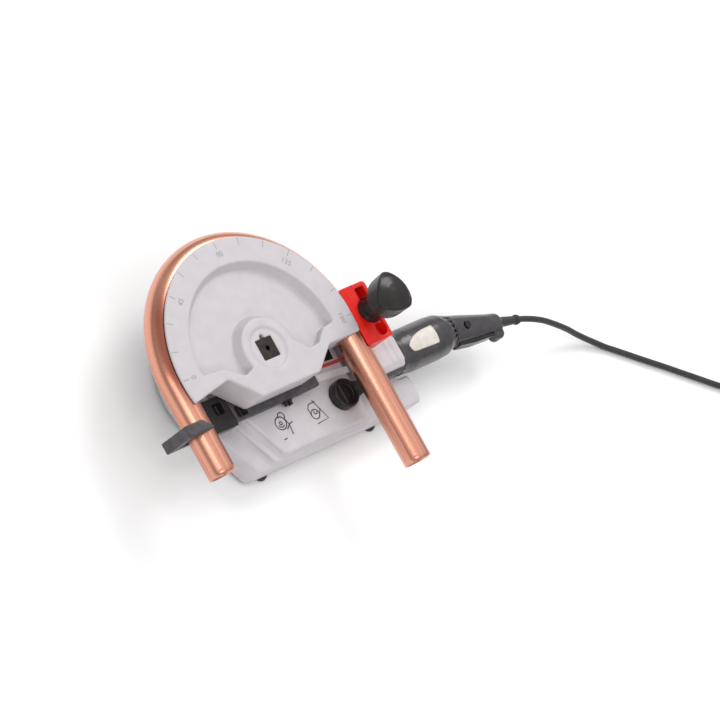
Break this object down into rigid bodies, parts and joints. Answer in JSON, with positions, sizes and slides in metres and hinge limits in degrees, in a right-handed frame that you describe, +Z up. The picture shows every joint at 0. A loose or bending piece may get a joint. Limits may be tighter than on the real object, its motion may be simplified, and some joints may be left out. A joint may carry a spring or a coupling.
{
  "type": "electric pipe bender",
  "caption": "Bench pipe bender: a geared motor turns a grooved former, a sliding hook draws the tube round it and a clamped back former holds it in the groove.",
  "frame": {"origin": "on the drive axis, at the bench surface under the feet", "axes": "+X along the motor towards the grip, +Y away from the open ends of the bent tube, +Z up along the drive axis"},
  "size_m": [1.108, 0.5506, 0.1748],
  "materials": {
    "casting_grey": "painted light grey casting",
    "former_grey": "painted light grey casting",
    "signal_red": "moulded red",
    "shell_black": "fine grain",
    "knob_black": "fine grain",
    "steel": "ground",
    "dark_steel": "blackened",
    "bronze": "machined",
    "copper": "drawn, satin",
    "carbon": "pressed carbon",
    "rubber": "matt"
  },
  "bodies": {
    "base": {"gear_housing": "casting_grey", "bottom_plate": "dark_steel", "plate_screws": "steel", "feet": "rubber", "lower_bearing": "steel", "upper_bearing": "steel", "shaft_seal": "rubber", "worm_bearings": "steel", "motor_bearings": "steel", "motor_housing": "shell_black", "motor_screws": "steel", "stator": "dark_steel", "brush_holders": "bronze", "brushes": "carbon", "grip_upper": "shell_black", "grip_lower": "shell_black", "grip_screws": "steel", "switch_module": "knob_black", "trigger_pin": "steel", "side_cover": "shell_black", "cover_screws": "steel", "selector_switch": "knob_black", "back_former": "signal_red", "former_holder": "signal_red", "cord_sleeve": "rubber", "cord": "rubber", "cord_coil": "rubber", "cord_tie": "knob_black", "plug_body": "rubber", "plug_pins": "bronze"},
    "drive": {"drive_shaft": "steel", "worm_wheel": "bronze", "bending_former": "former_grey", "hook_arm": "dark_steel", "hook_bracket": "knob_black", "arm_screws": "steel"},
    "hook": {"tube_hook": "dark_steel"},
    "tube": {"copper_tube": "copper"},
    "worm_line": {"worm_shaft": "steel", "worm": "steel", "worm_gear": "steel"},
    "rotor": {"armature_shaft": "steel", "armature_core": "copper", "commutator": "copper", "motor_pinion": "steel", "cooling_fan": "knob_black"},
    "selector": {"selector_knob": "knob_black"},
    "clamp": {"clamp_knob": "knob_black", "clamp_stud": "steel"},
    "trigger": {"trigger_paddle": "knob_black"},
    "lock": {"lock_button": "knob_black"}
  },
  "joints": [
    {"name": "former_turn", "type": "hinge", "parent": "base", "child": "drive", "pos_m": [0, 0, 0.095], "axis": [0, 0, 1], "range_deg": [-180, 0]},
    {"name": "hook_slide", "type": "slide", "parent": "drive", "child": "hook", "axis": [-1, 0, 0], "range_m": [0, 0.025]},
    {"name": "tube_draw", "type": "slide", "parent": "drive", "child": "tube", "axis": [0, 1, 0], "range_m": [0, 0.25]},
    {"name": "worm_spin", "type": "hinge", "parent": "base", "child": "worm_line", "pos_m": [0, -0.06, 0.027], "axis": [1, 0, 0], "range_deg": [-20, 7220]},
    {"name": "rotor_spin", "type": "hinge", "parent": "base", "child": "rotor", "pos_m": [0.3, -0.06, 0.0461], "axis": [1, 0, 0], "range_deg": [-20200, 40]},
    {"name": "selector_turn", "type": "hinge", "parent": "base", "child": "selector", "pos_m": [0.1175, -0.081, 0.06], "axis": [0, 0, 1], "range_deg": [-45, 45]},
    {"name": "clamp_turn", "type": "hinge", "parent": "base", "child": "clamp", "pos_m": [0.17, -0.007, 0.14], "axis": [0, 0, 1], "continuous": true},
    {"name": "trigger_press", "type": "hinge", "parent": "base", "child": "trigger", "pos_m": [0.34081, -0.07775, 0.0461], "axis": [0, 0, 1], "range_deg": [0, 4], "stiffness_Nm_per_rad": 1.5, "springref_deg": -9.74},
    {"name": "lock_press", "type": "slide", "parent": "base", "child": "lock", "axis": [0, 0, -1], "range_m": [0, 0.002], "stiffness_N_per_m": 800, "springref_m": -0.002}
  ],
  "couplings": [
    {"joint": "worm_spin", "follows": "former_turn", "ratio": -40},
    {"joint": "rotor_spin", "follows": "former_turn", "ratio": 112}
  ]
}
